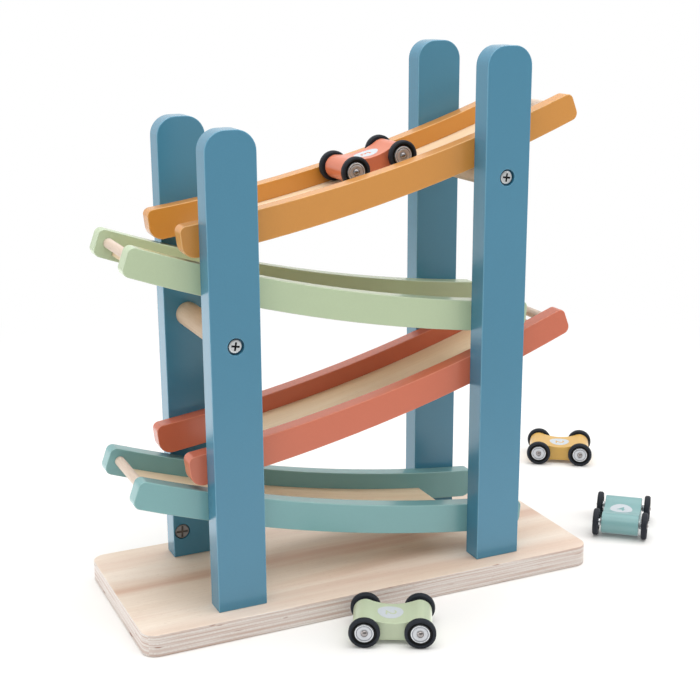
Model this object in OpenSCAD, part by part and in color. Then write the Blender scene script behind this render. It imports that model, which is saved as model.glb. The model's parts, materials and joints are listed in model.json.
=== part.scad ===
// Click clack track: four curved wooden ramps between two pairs of posts on a plywood base,
// with one small car on the top ramp and three more on the floor beside the base.
// Millimetres. X runs along the base, Y from front to rear, Z up.
// The origin is the centre of the base board's underside.

/* [Base board] */
// Length of the base board
base_length = 300; // [250:1:400]
// Width of the base board, front to rear
base_width = 122.5; // [112:0.5:180]
// Thickness of the base board
base_thickness = 13.5; // [10:0.5:24]
// Radius of the base board's upright corners
base_corner_radius = 9; // [2:0.5:30]

/* [Posts] */
// Distance between the centre lines of the left and right posts
post_spacing = 173.4; // [160:0.2:190]
// Width of a post along X
post_width = 30; // [29:0.5:40]
// Thickness of a post along Y
post_thickness = 14; // [12:0.5:20]
// Height of the two left posts above the base board
left_post_height = 280; // [250:1:300]
// Height of the two right posts above the base board
right_post_height = 320; // [300:1:340]
// Radius of the posts' top corners
post_corner_radius = 12; // [2:0.5:12.5]

/* [Rails] */
// Clear width between the two rails of a ramp
channel_width = 52; // [46:0.5:60]
// Thickness of a rail along Y
rail_thickness = 10; // [8:0.5:14]
// Radius of the curve that the cars run down
curve_radius = 1000; // [800:10:1300]
// How far the lower edge's curve lies below the upper edge's curve
rail_depth = 19.5; // [18:0.1:22]
// How far the lower edge's curve is moved towards the low end, which thins the high end
rail_taper = 4.3; // [2:0.1:6]
// Length of a rail along its upper edge
rail_length = 260.5; // [245:0.5:275]
// How far a rail's low end reaches past the centre line of its posts
rail_reach = 26; // [18:0.5:32]
// Corner radius of a rail's low end at the upper edge
low_top_radius = 4; // [1:0.5:6]
// Corner radius of a rail's low end at the lower edge
low_bottom_radius = 8; // [2:0.5:9]
// Corner radius of a rail's high end at the upper edge
high_top_radius = 4; // [1:0.5:6]
// Corner radius of a rail's high end at the lower edge
high_bottom_radius = 4.5; // [1:0.5:6]

/* [Ramp heights] */
// Upper edge of the orange rails above the base board at their low posts
orange_low_height = 230.3; // [225:0.1:234]
// Upper edge of the orange rails above the base board at their high posts
orange_high_height = 271.3; // [268:0.1:276]
// Upper edge of the green rails above the base board at their low posts
green_low_height = 165; // [160:0.1:170]
// Upper edge of the red rails above the base board at their low posts
red_low_height = 96.3; // [92:0.1:100]
// Upper edge of the teal rails above the base board at their low posts
teal_low_height = 31.2; // [30:0.1:36]
// Gap at the left posts between the orange rails and the green rails below them
green_gap = 9.8; // [8.4:0.1:14]
// Gap at the right posts between the green rails and the red rails below them
red_gap = 9.2; // [8.4:0.1:14]
// Gap at the left posts between the red rails and the teal rails below them
teal_gap = 10.4; // [8.4:0.1:14]

/* [Decks] */
// Thickness of the thin panel that the cars run on
deck_thickness = 3; // [2:0.1:3.6]
// Depth of the running surface below the rails' upper edge
deck_drop = 10.8; // [10.6:0.1:12]
// Depth of the groove in each rail that holds the deck
groove_depth = 3; // [2:0.1:4]
// Open length at the low end, through which a car drops to the next ramp
drop_gap = 41.8; // [30:0.1:60]

/* [Dowels] */
// Diameter of the dowel that stops the cars at a ramp's high end
stop_diameter = 6; // [4:0.1:6.2]
// Depth of the stop dowel's axis below the rails' upper edge
stop_drop = 7.4; // [6.6:0.1:7.4]
// Distance of the stop dowel's axis from the rail's high end
stop_inset = 7.3; // [6:0.1:12]
// How deep the stop dowel goes into each rail
stop_seat = 6; // [3:0.5:7]
// Diameter of the two spacer dowels that hold the front and rear posts apart
spacer_diameter = 15; // [12:0.5:16]
// Depth of the left spacer dowel's axis below the green rails' upper edge
left_spacer_drop = 41.2; // [33:0.1:51]
// Depth of the right spacer dowel's axis below the orange rails' upper edge
right_spacer_drop = 28; // [27.4:0.1:46]

/* [Fasteners] */
// Diameter of a screw's head
screw_head_diameter = 8; // [6:0.1:9]
// Height of a screw's head
screw_head_height = 2.2; // [1.5:0.1:3]
// Diameter of a screw's shank
screw_diameter = 4; // [3:0.1:5]
// Length of a screw under its head
screw_length = 28; // [20:0.5:36]
// Diameter of the counterbore round a screw's head
counterbore_diameter = 10; // [9.2:0.1:12]
// Depth of a screw's head below the face of its post
screw_sink = 1; // [0.2:0.1:2]
// Turn of the cross recess in a screw's head, in degrees
cross_turn = 9; // [0:1:45]
// Diameter of a cam nut
cam_diameter = 10; // [9:0.5:12]
// Length of a cam nut
cam_length = 10.5; // [9.5:0.1:11]
// Height of a cam nut's axis above the base board
cam_height = 17; // [14:0.5:22]
// Distance of a post's cam nut, and of its locating pin, from the post's upright edges
foot_edge = 5.9; // [5.6:0.1:6.1]
// Diameter of the dowel pins that locate the posts and rails
pin_diameter = 6; // [4:0.1:6.4]

/* [Cars] */
// Distance between a car's two axles
wheelbase = 32.2; // [28:0.1:36]
// Diameter of a tyre
tyre_diameter = 18.4; // [17:0.1:19]
// Width of a tyre
tyre_width = 4; // [3.4:0.1:4.4]
// Width of a car over its tyres
car_width = 36.6; // [35:0.1:38]
// Width of a car's body
body_width = 25; // [22:0.1:25.4]
// Radius of a car body's rounded ends, about the axles
body_end_radius = 7.2; // [6.9:0.1:7.8]
// Height of the saddle's lowest point above the axles
saddle_height = 4.2; // [3:0.1:5]
// Depth of the underside's highest point below the axles
arch_depth = 6.6; // [5:0.1:6.7]
// Diameter of an axle
axle_diameter = 3; // [2:0.1:3.4]
// Diameter of an axle's domed end
cap_diameter = 4.7; // [4.2:0.1:5]
// Height of an axle's domed end
cap_height = 1.2; // [0.6:0.1:1.6]
// Diameter of a wheel hub
hub_diameter = 11.5; // [10.8:0.1:12.5]

/* [Places of the cars] */
// Distance along the top ramp from the deck's low end to the middle of the red car
red_car_travel = 94.6; // [60:0.1:150]
// Gap between the base board's front edge and the green car
green_car_gap = 4.1; // [2:0.1:20]
// Distance of the green car to the left of the base board's centre
green_car_left = 10.1; // [0:0.1:40]
// Turn of the green car, in degrees
green_car_turn = -27.2; // [-40:0.1:-20]
// Gap between the base board's right edge and the yellow car
yellow_car_gap = 63.5; // [55:0.5:90]
// Distance from the base board's rear edge to the middle of the yellow car
yellow_car_behind = 55.7; // [50:0.1:80]
// Turn of the yellow car, in degrees
yellow_car_turn = -33.2; // [-45:0.1:-20]
// Gap between the base board's right edge and the teal car
teal_car_gap = 25.4; // [15:0.1:35]
// Distance of the teal car's middle in front of the base board's centre line
teal_car_front = 20.6; // [10:0.1:40]
// Turn of the teal car, in degrees
teal_car_turn = 49.7; // [40:0.1:60]

/* [Hidden] */
// Gap between wooden pieces that are glued or pressed together
glue_gap = 0.1;
// Radial clearance of an axle in the car body
running_gap = 0.05;
// Gap between a hub pressed on an axle and the axle, and between a tyre and its hub
press_gap = 0.01;
// Gap between pieces that pass or roll over each other
play = 0.3;
// Gap between the red car and the rear rail beside it
red_car_side_gap = 0.5;
// Thickness of wood left between two cuts
web = 1;
// How far a cut runs past the face it opens
overrun = 2;
// Wood left under the pins and bolts in the base board
pin_floor = 3.5;
bolt_floor = 2.5;
// Depth of a pin in a post
pin_post_depth = 8;
foot_pin_height = 12;
// Cam bolt: shank in the base, neck through the post's foot and head in the cam nut
bolt_diameter = 5;
bolt_neck_diameter = 4;
bolt_head_diameter = 6;
bolt_head_height = 3;
// Cross recesses in screws and cam nuts
cross_width = 1;
cross_depth = 1;
screw_cross_share = 0.62;
cam_cross_share = 0.7;
// Recess of a cam nut's face below the post's face
cam_sink = 0.3;
// Tyre: chamfer of its shoulders, and the step in its outer side
tyre_shoulder = 0.9;
tyre_step_depth = 0.5;
tyre_step_width = 1.9;
tyre_step_slope = 0.35;
// Hub: rim, ring groove and recess inside the tyre
hub_inset = 0.45;
hub_rim_width = 1.15;
hub_groove_width = 0.4;
hub_groove_depth = 0.4;
hub_collar_diameter = 4.7;

// Colours of the woods, paints and metals
plywood_colour = "#D9C7B2";
beech_colour = "#DDC9B4";
steel_colour = "#B9BCC0";
zinc_colour = "#8C8E92";
post_colour = "#5688A1";
orange_colour = "#D3954F";
green_colour = "#AFC3A4";
red_colour = "#C7715A";
teal_colour = "#7FA9A8";
red_car_colour = "#D67A60";
green_car_colour = "#C0CFAC";
yellow_car_colour = "#DDB968";
teal_car_colour = "#9AC2C4";
hub_colour = "#D8DCE0";
rubber_colour = "#2B2D33";

// Sides of a full turn for ordinary round shapes and for the ramps' long curves
$fn = 96;
curve_sides = 720;
// Points in each arc of a car body's side view
arc_steps = 28;

front = -1;
rear = 1;
left = -1;
right = 1;

post_x = post_spacing / 2;
foot_offset = post_width / 2 - foot_edge;
channel_y = channel_width / 2;
post_inner_y = channel_y + rail_thickness;
tyre_radius = tyre_diameter / 2;
axle_radius = axle_diameter / 2;
hub_radius = hub_diameter / 2;
pin_rail_depth = rail_thickness - groove_depth - web;

// Each lower ramp's high end lies a gap below the rails above it, and the spacers hang below theirs
green_high_height = orange_low_height - rail_depth - green_gap;
red_high_height = green_low_height - rail_depth - red_gap;
teal_high_height = red_low_height - rail_depth - teal_gap;
left_spacer_height = green_high_height - left_spacer_drop;
right_spacer_height = orange_high_height - right_spacer_drop;

// A ramp is [low height, high height, side of its low end]
orange_ramp = [base_thickness + orange_low_height, base_thickness + orange_high_height, left];
green_ramp = [base_thickness + green_low_height, base_thickness + green_high_height, right];
red_ramp = [base_thickness + red_low_height, base_thickness + red_high_height, left];
teal_ramp = [base_thickness + teal_low_height, base_thickness + teal_high_height, right];
ramps = [orange_ramp, green_ramp, red_ramp, teal_ramp];

// Curve of a ramp. Every ramp is worked out with its low end at the left, in X and Z.
// Its upper edge is an arc about a centre high above, through the heights at the two posts.

// Angle, in degrees, that a length along an arc spans
function arc_angle(length, radius) = length / radius * 180 / PI;

// Directions at an angle from straight below the centre: outward, and uphill along the curve
function outward(a) = [sin(a), -cos(a)];
function uphill(a) = [cos(a), sin(a)];

function ramp_centre(ramp) =
    let (rise = ramp[1] - ramp[0])
    let (half_chord = norm([post_spacing, rise]) / 2)
    let (slope = atan2(rise, post_spacing))
    let (height = sqrt(curve_radius * curve_radius - half_chord * half_chord))
    [-sin(slope) * height, (ramp[0] + ramp[1]) / 2 + cos(slope) * height];

function lower_centre(ramp) = ramp_centre(ramp) - [rail_taper, rail_depth];

// Heights of the upper and lower edges of the rails at a place along X
function upper_edge(ramp, x) =
    let (c = ramp_centre(ramp))
    c[1] - sqrt(curve_radius * curve_radius - (x - c[0]) * (x - c[0]));
function lower_edge(ramp, x) =
    let (c = lower_centre(ramp))
    c[1] - sqrt(curve_radius * curve_radius - (x - c[0]) * (x - c[0]));

// Angles of the rail's low and high ends, of the deck's ends and of the stop dowel
function low_angle(ramp) = asin((-post_x - rail_reach - ramp_centre(ramp)[0]) / curve_radius);
function high_angle(ramp) = low_angle(ramp) + arc_angle(rail_length, curve_radius);
function deck_low_angle(ramp) = low_angle(ramp) + arc_angle(drop_gap, curve_radius);
function deck_high_angle(ramp) =
    high_angle(ramp) - arc_angle(stop_inset + stop_diameter / 2 + web, curve_radius);
function stop_angle(ramp) = high_angle(ramp) - arc_angle(stop_inset, curve_radius);
function stop_place(ramp) =
    ramp_centre(ramp) + (curve_radius + stop_drop) * outward(stop_angle(ramp));

// Height of the pin that joins a rail to a post: midway between the rail's edges there
function rail_pin_height(ramp, side) =
    let (x = -side * ramp[2] * post_x)
    (upper_edge(ramp, x) + lower_edge(ramp, x)) / 2;

// Centre of a corner round that touches the upper edge and an end face
function upper_corner(ramp, end_angle, radius, end) =
    let (turn = asin(radius / (curve_radius + radius)))
    ramp_centre(ramp) + (curve_radius + radius) * outward(end_angle - end * turn);

// Centre of a corner round that touches the lower edge and an end face
function lower_corner(ramp, end_angle, radius, end) =
    let (inner = ramp_centre(ramp) - end * radius * uphill(end_angle))
    let (offset = inner - lower_centre(ramp))
    let (along = offset * outward(end_angle))
    let (reach = curve_radius - radius)
    let (distance = -along + sqrt(along * along - offset * offset + reach * reach))
    inner + distance * outward(end_angle);

function unit(v) = v / norm(v);

// Flat shape drawn in X and Z, made solid between two places along Y
module upright(y_from, y_to) {
    translate([0, max(y_from, y_to), 0])
        rotate([90, 0, 0])
            linear_extrude(abs(y_to - y_from))
                children();
}

// Round bar along Y between two places
module bar_y(x, z, y_from, y_to, diameter) {
    translate([x, min(y_from, y_to), z])
        rotate([-90, 0, 0])
            cylinder(h = abs(y_to - y_from), d = diameter);
}

// Ramps that fall to the right are mirror images of those that fall to the left
module facing(ramp) {
    if (ramp[2] == left)
        children();
    else
        mirror([1, 0, 0])
            children();
}

// Part of the plane between two directions from a ramp's centre, out to a radius
module sector(ramp, from_angle, to_angle, radius) {
    reach = radius / cos((to_angle - from_angle) / 2);
    translate(ramp_centre(ramp))
        polygon([
            [0, 0],
            reach * outward(from_angle),
            reach * outward(to_angle)
        ]);
}

// Strip that follows a ramp's curve between two depths below the upper edge
module curved_strip(ramp, from_angle, to_angle, upper, lower) {
    difference() {
        intersection() {
            translate(ramp_centre(ramp))
                circle(curve_radius + lower, $fn = curve_sides);
            sector(ramp, from_angle, to_angle, curve_radius + lower + overrun);
        }
        translate(ramp_centre(ramp))
            circle(curve_radius + upper, $fn = curve_sides);
    }
}

// What is cut away outside a corner round
module corner_waste(centre, radius, to_end, to_edge) {
    reach = radius + overrun;
    translate(centre)
        difference() {
            polygon([[0, 0], reach * to_end, reach * (to_end + to_edge), reach * to_edge]);
            circle(radius);
        }
}

module end_rounding(ramp, angle, end, top_radius, bottom_radius) {
    top = upper_corner(ramp, angle, top_radius, end);
    bottom = lower_corner(ramp, angle, bottom_radius, end);
    corner_waste(top, top_radius, end * uphill(angle), unit(ramp_centre(ramp) - top));
    corner_waste(bottom, bottom_radius, end * uphill(angle), unit(bottom - lower_centre(ramp)));
}

module rail_outline(ramp) {
    low = low_angle(ramp);
    high = high_angle(ramp);
    difference() {
        intersection() {
            translate(lower_centre(ramp))
                circle(curve_radius, $fn = curve_sides);
            sector(ramp, low, high, curve_radius + rail_depth + overrun);
        }
        translate(ramp_centre(ramp))
            circle(curve_radius, $fn = curve_sides);
        end_rounding(ramp, low, -1, low_top_radius, low_bottom_radius);
        end_rounding(ramp, high, 1, high_top_radius, high_bottom_radius);
    }
}

// One rail, with the groove for the deck, the stop dowel's hole and the holes for its pins
module rail(ramp, side) {
    inner = side == front ? -channel_y : channel_y;
    outer = side == front ? -post_inner_y : post_inner_y;
    stop = stop_place(ramp);
    gap_angle = arc_angle(glue_gap, curve_radius);
    facing(ramp)
        difference() {
            upright(inner, outer)
                rail_outline(ramp);
            upright(inner - side * overrun, inner + side * groove_depth)
                curved_strip(ramp, deck_low_angle(ramp) - gap_angle, deck_high_angle(ramp) + gap_angle,
                    deck_drop - glue_gap, deck_drop + deck_thickness + glue_gap);
            bar_y(stop[0], stop[1], inner - side * overrun, inner + side * (stop_seat + glue_gap),
                stop_diameter + glue_gap);
            for (end = [left, right])
                bar_y(-end * ramp[2] * post_x, rail_pin_height(ramp, end),
                    outer + side * overrun, outer - side * pin_rail_depth, pin_diameter + glue_gap);
        }
}

// Thin curved panel let into the grooves of the two rails
module deck(ramp) {
    width = channel_width + 2 * (groove_depth - glue_gap);
    facing(ramp)
        upright(-width / 2, width / 2)
            curved_strip(ramp, deck_low_angle(ramp), deck_high_angle(ramp),
                deck_drop, deck_drop + deck_thickness);
}

module stop_dowel(ramp) {
    stop = stop_place(ramp);
    end = channel_y + stop_seat;
    color(beech_colour)
        facing(ramp)
            bar_y(stop[0], stop[1], -end, end, stop_diameter);
}

module orange_front_rail() { color(orange_colour) rail(orange_ramp, front); }
module orange_rear_rail() { color(orange_colour) rail(orange_ramp, rear); }
module orange_deck() { color(plywood_colour) deck(orange_ramp); }
module orange_stop_dowel() { stop_dowel(orange_ramp); }
module green_front_rail() { color(green_colour) rail(green_ramp, front); }
module green_rear_rail() { color(green_colour) rail(green_ramp, rear); }
module green_deck() { color(plywood_colour) deck(green_ramp); }
module green_stop_dowel() { stop_dowel(green_ramp); }
module red_front_rail() { color(red_colour) rail(red_ramp, front); }
module red_rear_rail() { color(red_colour) rail(red_ramp, rear); }
module red_deck() { color(plywood_colour) deck(red_ramp); }
module red_stop_dowel() { stop_dowel(red_ramp); }
module teal_front_rail() { color(teal_colour) rail(teal_ramp, front); }
module teal_rear_rail() { color(teal_colour) rail(teal_ramp, rear); }
module teal_deck() { color(plywood_colour) deck(teal_ramp); }
module teal_stop_dowel() { stop_dowel(teal_ramp); }

// Base board with rounded corners, and blind holes for the cam bolts and locating pins

// Places of the four posts' centre lines
function post_place(end, side) = [end * post_x, side * (post_inner_y + post_thickness / 2)];
// The cam bolt stands towards the end of the base, the locating pin towards its middle
function bolt_place(end, side) = post_place(end, side) + [end * foot_offset, 0];
function pin_place(end, side) = post_place(end, side) - [end * foot_offset, 0];

module base_outline() {
    inner_length = base_length - 2 * base_corner_radius;
    inner_width = base_width - 2 * base_corner_radius;
    square([base_length, inner_width], center = true);
    square([inner_length, base_width], center = true);
    for (x = [-inner_length / 2, inner_length / 2], y = [-inner_width / 2, inner_width / 2])
        translate([x, y])
            circle(base_corner_radius);
}

module base_board() {
    color(plywood_colour)
        difference() {
            linear_extrude(base_thickness)
                base_outline();
            for (end = [left, right], side = [front, rear]) {
                translate([bolt_place(end, side)[0], bolt_place(end, side)[1], bolt_floor - glue_gap])
                    cylinder(h = base_thickness, d = bolt_diameter + glue_gap);
                translate([pin_place(end, side)[0], pin_place(end, side)[1], pin_floor - glue_gap])
                    cylinder(h = base_thickness, d = pin_diameter + glue_gap);
            }
        }
}

// Posts: flat boards with rounded top corners, standing on the base board

module post_outline(height) {
    half = post_width / 2;
    round_x = half - post_corner_radius;
    square_top = height - post_corner_radius;
    translate([-half, 0])
        square([post_width, square_top]);
    translate([-round_x, 0])
        square([2 * round_x, height]);
    for (x = [-round_x, round_x])
        translate([x, square_top])
            circle(post_corner_radius);
}

module post(end, side, height, spacer_height) {
    inner = side * post_inner_y;
    outer = side * (post_inner_y + post_thickness);
    middle = side * (post_inner_y + post_thickness / 2);
    cam_end = inner + side * (cam_sink + cam_length + glue_gap);
    head_seat = outer - side * (screw_sink + screw_head_height);
    color(post_colour)
        difference() {
            translate([end * post_x, 0, base_thickness])
                upright(inner, outer)
                    post_outline(height);
            for (ramp = ramps)
                bar_y(end * post_x, rail_pin_height(ramp, end), inner - side * overrun,
                    inner + side * (pin_post_depth + glue_gap), pin_diameter + glue_gap);
            bar_y(end * post_x, base_thickness + spacer_height,
                inner - side * overrun, outer + side * overrun, screw_diameter + play);
            bar_y(end * post_x, base_thickness + spacer_height,
                head_seat, outer + side * overrun, counterbore_diameter);
            bar_y(bolt_place(end, side)[0], base_thickness + cam_height,
                inner - side * overrun, cam_end, cam_diameter + glue_gap);
            translate([bolt_place(end, side)[0], middle, base_thickness - overrun])
                cylinder(h = cam_height + overrun, d = bolt_head_diameter + play);
            translate([pin_place(end, side)[0], middle, base_thickness - overrun])
                cylinder(h = foot_pin_height + glue_gap + overrun, d = pin_diameter + glue_gap);
        }
}

module front_left_post() { post(left, front, left_post_height, left_spacer_height); }
module rear_left_post() { post(left, rear, left_post_height, left_spacer_height); }
module front_right_post() { post(right, front, right_post_height, right_spacer_height); }
module rear_right_post() { post(right, rear, right_post_height, right_spacer_height); }

// Spacer dowels between the front and rear posts, held by a screw at each end

module spacer_dowel(end, height) {
    screw_end = post_inner_y + post_thickness - screw_sink - screw_head_height - screw_length;
    color(beech_colour)
        difference() {
            bar_y(end * post_x, base_thickness + height, -post_inner_y, post_inner_y, spacer_diameter);
            for (side = [front, rear])
                bar_y(end * post_x, base_thickness + height, side * (screw_end - glue_gap),
                    side * (post_inner_y + overrun), screw_diameter + glue_gap);
        }
}

module left_spacer_dowel() { spacer_dowel(left, left_spacer_height); }
module right_spacer_dowel() { spacer_dowel(right, right_spacer_height); }

// A cross recess cut into a face at height zero
module cross_recess(length, turn) {
    for (quarter = [0, 90])
        rotate([0, 0, turn + quarter])
            translate([-length / 2, -cross_width / 2, -cross_depth])
                cube([length, cross_width, cross_depth + overrun]);
}

// A screw along Z with its head's top at height zero
module screw() {
    difference() {
        union() {
            translate([0, 0, -screw_head_height])
                cylinder(h = screw_head_height, d = screw_head_diameter);
            translate([0, 0, -screw_head_height - screw_length])
                cylinder(h = screw_length + screw_head_height / 2, d = screw_diameter);
        }
        cross_recess(screw_head_diameter * screw_cross_share, cross_turn);
    }
}

module spacer_screws() {
    head_y = post_inner_y + post_thickness - screw_sink;
    color(steel_colour)
        for (place = [[left, left_spacer_height], [right, right_spacer_height]], side = [front, rear])
            translate([place[0] * post_x, side * head_y, base_thickness + place[1]])
                rotate([-side * 90, 0, 0])
                    screw();
}

// Cam nuts in the posts' inner faces, which draw the cam bolts' heads down

module cam_nuts() {
    color(zinc_colour)
        for (end = [left, right], side = [front, rear])
            translate([bolt_place(end, side)[0], side * (post_inner_y + cam_sink),
                    base_thickness + cam_height])
                rotate([side * 90, 0, 0])
                    difference() {
                        translate([0, 0, -cam_length])
                            cylinder(h = cam_length, d = cam_diameter);
                        cross_recess(cam_diameter * cam_cross_share, cross_turn);
                        translate([0, 0, cam_sink - post_thickness / 2])
                            rotate([side * 90, 0, 0])
                                translate([0, 0, -bolt_head_height])
                                    cylinder(h = cam_diameter, d = bolt_head_diameter + play);
                    }
}

module cam_bolts() {
    neck_top = base_thickness + cam_height - bolt_head_height / 2;
    color(steel_colour)
        for (end = [left, right], side = [front, rear])
            translate([bolt_place(end, side)[0], bolt_place(end, side)[1], 0]) {
                translate([0, 0, bolt_floor])
                    cylinder(h = base_thickness - bolt_floor, d = bolt_diameter);
                translate([0, 0, base_thickness - web])
                    cylinder(h = neck_top - base_thickness + web + web, d = bolt_neck_diameter);
                translate([0, 0, neck_top])
                    cylinder(h = bolt_head_height, d = bolt_head_diameter);
            }
}

module post_dowel_pins() {
    color(beech_colour)
        for (end = [left, right], side = [front, rear])
            translate([pin_place(end, side)[0], pin_place(end, side)[1], pin_floor])
                cylinder(h = base_thickness - pin_floor + foot_pin_height, d = pin_diameter);
}

module rail_dowel_pins() {
    color(beech_colour)
        for (ramp = ramps, end = [left, right], side = [front, rear])
            bar_y(end * post_x, rail_pin_height(ramp, end), side * (post_inner_y - pin_rail_depth + glue_gap),
                side * (post_inner_y + pin_post_depth), pin_diameter);
}

// Cars. In a car's own frame X runs forwards, Z up, and the tyres stand on height zero.

// Half the room that a turned car takes along an axis, from its turn against that axis
car_half_length = wheelbase / 2 + tyre_radius;
car_half_width = car_width / 2;
function car_reach(turn) = car_half_length * abs(cos(turn)) + car_half_width * abs(sin(turn));

// Angle of the axles about the top ramp's centre, seen from the middle of the car
rolling_radius = curve_radius + deck_drop - play - tyre_radius;
axle_spread = asin(wheelbase / 2 / rolling_radius);
red_car_angle = deck_low_angle(orange_ramp) + arc_angle(red_car_travel, curve_radius);
cap_reach = car_half_width - hub_inset + cap_height;
red_car_y = channel_y - cap_reach - red_car_side_gap;

module red_car_place() {
    foot = ramp_centre(orange_ramp)
        + (rolling_radius * cos(axle_spread) + tyre_radius) * outward(red_car_angle);
    translate([foot[0], red_car_y, foot[1]])
        rotate([0, -red_car_angle, 0])
            rotate([0, 0, 180])
                children();
}

module green_car_place() {
    translate([-green_car_left, -base_width / 2 - green_car_gap - car_reach(90 - green_car_turn), 0])
        rotate([0, 0, green_car_turn])
            children();
}

module yellow_car_place() {
    translate([base_length / 2 + yellow_car_gap + car_reach(yellow_car_turn),
            base_width / 2 + yellow_car_behind, 0])
        rotate([0, 0, yellow_car_turn])
            children();
}

module teal_car_place() {
    translate([base_length / 2 + teal_car_gap + car_reach(teal_car_turn), -teal_car_front, 0])
        rotate([0, 0, teal_car_turn])
            children();
}

// Radius of the hollow that touches both rounded ends and leaves a waist at a height
function hollow_radius(waist) =
    (wheelbase * wheelbase / 4 + waist * waist - body_end_radius * body_end_radius)
    / (2 * (body_end_radius - waist));

// Slope of the line from an axle to that hollow's centre
function hollow_slope(waist) = atan2(waist + hollow_radius(waist), wheelbase / 2);

// Points along an arc, without its last one
function arc_points(centre, radius, from_angle, to_angle) = [
    for (step = [0 : arc_steps - 1])
        let (a = from_angle + (to_angle - from_angle) * step / arc_steps)
        centre + radius * [cos(a), sin(a)]
];

// Side view of the body about the line of the axles: two rounded ends with hollows between them
module body_outline() {
    half = wheelbase / 2;
    top = hollow_slope(saddle_height);
    bottom = hollow_slope(arch_depth);
    top_radius = hollow_radius(saddle_height);
    bottom_radius = hollow_radius(arch_depth);
    polygon(concat(
        arc_points([half, 0], body_end_radius, bottom - 180, 180 - top),
        arc_points([0, saddle_height + top_radius], top_radius, -top, top - 180),
        arc_points([-half, 0], body_end_radius, top, 360 - bottom),
        arc_points([0, -arch_depth - bottom_radius], bottom_radius, 180 - bottom, bottom)
    ));
}

module car_body(paint) {
    half = body_width / 2;
    color(paint)
        translate([0, 0, tyre_radius])
            difference() {
                upright(-half, half)
                    body_outline();
                for (x = [-wheelbase / 2, wheelbase / 2])
                    bar_y(x, 0, -half - overrun, half + overrun, axle_diameter + 2 * running_gap);
            }
}

module at_axle(end) {
    translate([end * wheelbase / 2, 0, tyre_radius])
        children();
}

// Both ends of a wheelset: the child is drawn along Z, outwards from the tyre's inner side
module both_wheels() {
    for (side = [front, rear])
        rotate([-side * 90, 0, 0])
            translate([0, 0, car_half_width - tyre_width])
                children();
}

// Axle through the body, with a domed end on each hub
module car_axle(end) {
    seat = tyre_width - hub_inset;
    dome_radius = (cap_diameter * cap_diameter / 4 + cap_height * cap_height) / (2 * cap_height);
    rod_end = car_half_width - tyre_width + seat;
    color(steel_colour)
        at_axle(end) {
            bar_y(0, 0, -rod_end, rod_end, axle_diameter);
            both_wheels()
                translate([0, 0, seat])
                    rotate_extrude()
                        intersection() {
                            translate([0, cap_height - dome_radius])
                                circle(dome_radius);
                            square([cap_diameter / 2, cap_height]);
                        }
        }
}

// Hub with a collar that keeps the wheel off the body
module car_hubs(end) {
    bore = axle_radius + press_gap;
    collar = car_half_width - tyre_width - body_width / 2 - play;
    face = tyre_width - hub_inset;
    groove_outer = hub_radius - hub_rim_width;
    groove_inner = groove_outer - hub_groove_width;
    color(hub_colour)
        at_axle(end)
            both_wheels()
                rotate_extrude()
                    polygon([
                        [bore, -collar],
                        [hub_collar_diameter / 2, -collar],
                        [hub_collar_diameter / 2, hub_inset],
                        [hub_radius, hub_inset],
                        [hub_radius, face],
                        [groove_outer, face],
                        [groove_outer, face - hub_groove_depth],
                        [groove_inner, face - hub_groove_depth],
                        [groove_inner, face],
                        [bore, face]
                    ]);
}

// Rubber tyre with chamfered shoulders and a stepped outer side
module car_tyres(end) {
    seat = hub_radius + press_gap;
    step = tyre_radius - tyre_step_width;
    color(rubber_colour)
        at_axle(end)
            both_wheels()
                rotate_extrude()
                    polygon([
                        [seat, 0],
                        [tyre_radius - tyre_shoulder, 0],
                        [tyre_radius, tyre_shoulder],
                        [tyre_radius, tyre_width - tyre_shoulder],
                        [tyre_radius - tyre_shoulder, tyre_width],
                        [step, tyre_width],
                        [step - tyre_step_slope, tyre_width - tyre_step_depth],
                        [seat, tyre_width - tyre_step_depth]
                    ]);
}

module red_car_body() { red_car_place() car_body(red_car_colour); }
module green_car_body() { green_car_place() car_body(green_car_colour); }
module yellow_car_body() { yellow_car_place() car_body(yellow_car_colour); }
module teal_car_body() { teal_car_place() car_body(teal_car_colour); }

// One wheelset piece of one car, from the node's own name
module wheel_piece(name, piece, end) {
    union() {
        if (piece == "axle") car_axle(end);
        if (piece == "hubs") car_hubs(end);
        if (piece == "tyres") car_tyres(end);
    }
}

base_board();
front_left_post();
rear_left_post();
front_right_post();
rear_right_post();
orange_front_rail();
orange_rear_rail();
orange_deck();
orange_stop_dowel();
green_front_rail();
green_rear_rail();
green_deck();
green_stop_dowel();
red_front_rail();
red_rear_rail();
red_deck();
red_stop_dowel();
teal_front_rail();
teal_rear_rail();
teal_deck();
teal_stop_dowel();
left_spacer_dowel();
right_spacer_dowel();
spacer_screws();
cam_nuts();
cam_bolts();
post_dowel_pins();
rail_dowel_pins();
red_car_body();
green_car_body();
yellow_car_body();
teal_car_body();

// Wheelsets: the front axle is towards the end that a car runs to
for (axle = [["front", 1], ["rear", -1]], piece = ["axle", "hubs", "tyres"]) {
    red_car_place() wheel_piece(str("red_car_", axle[0], "_", piece), piece, axle[1]);
    green_car_place() wheel_piece(str("green_car_", axle[0], "_", piece), piece, axle[1]);
    yellow_car_place() wheel_piece(str("yellow_car_", axle[0], "_", piece), piece, axle[1]);
    teal_car_place() wheel_piece(str("teal_car_", axle[0], "_", piece), piece, axle[1]);
}
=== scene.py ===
import json
import math

import bmesh
import bpy
from mathutils import Matrix, Vector


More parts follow.
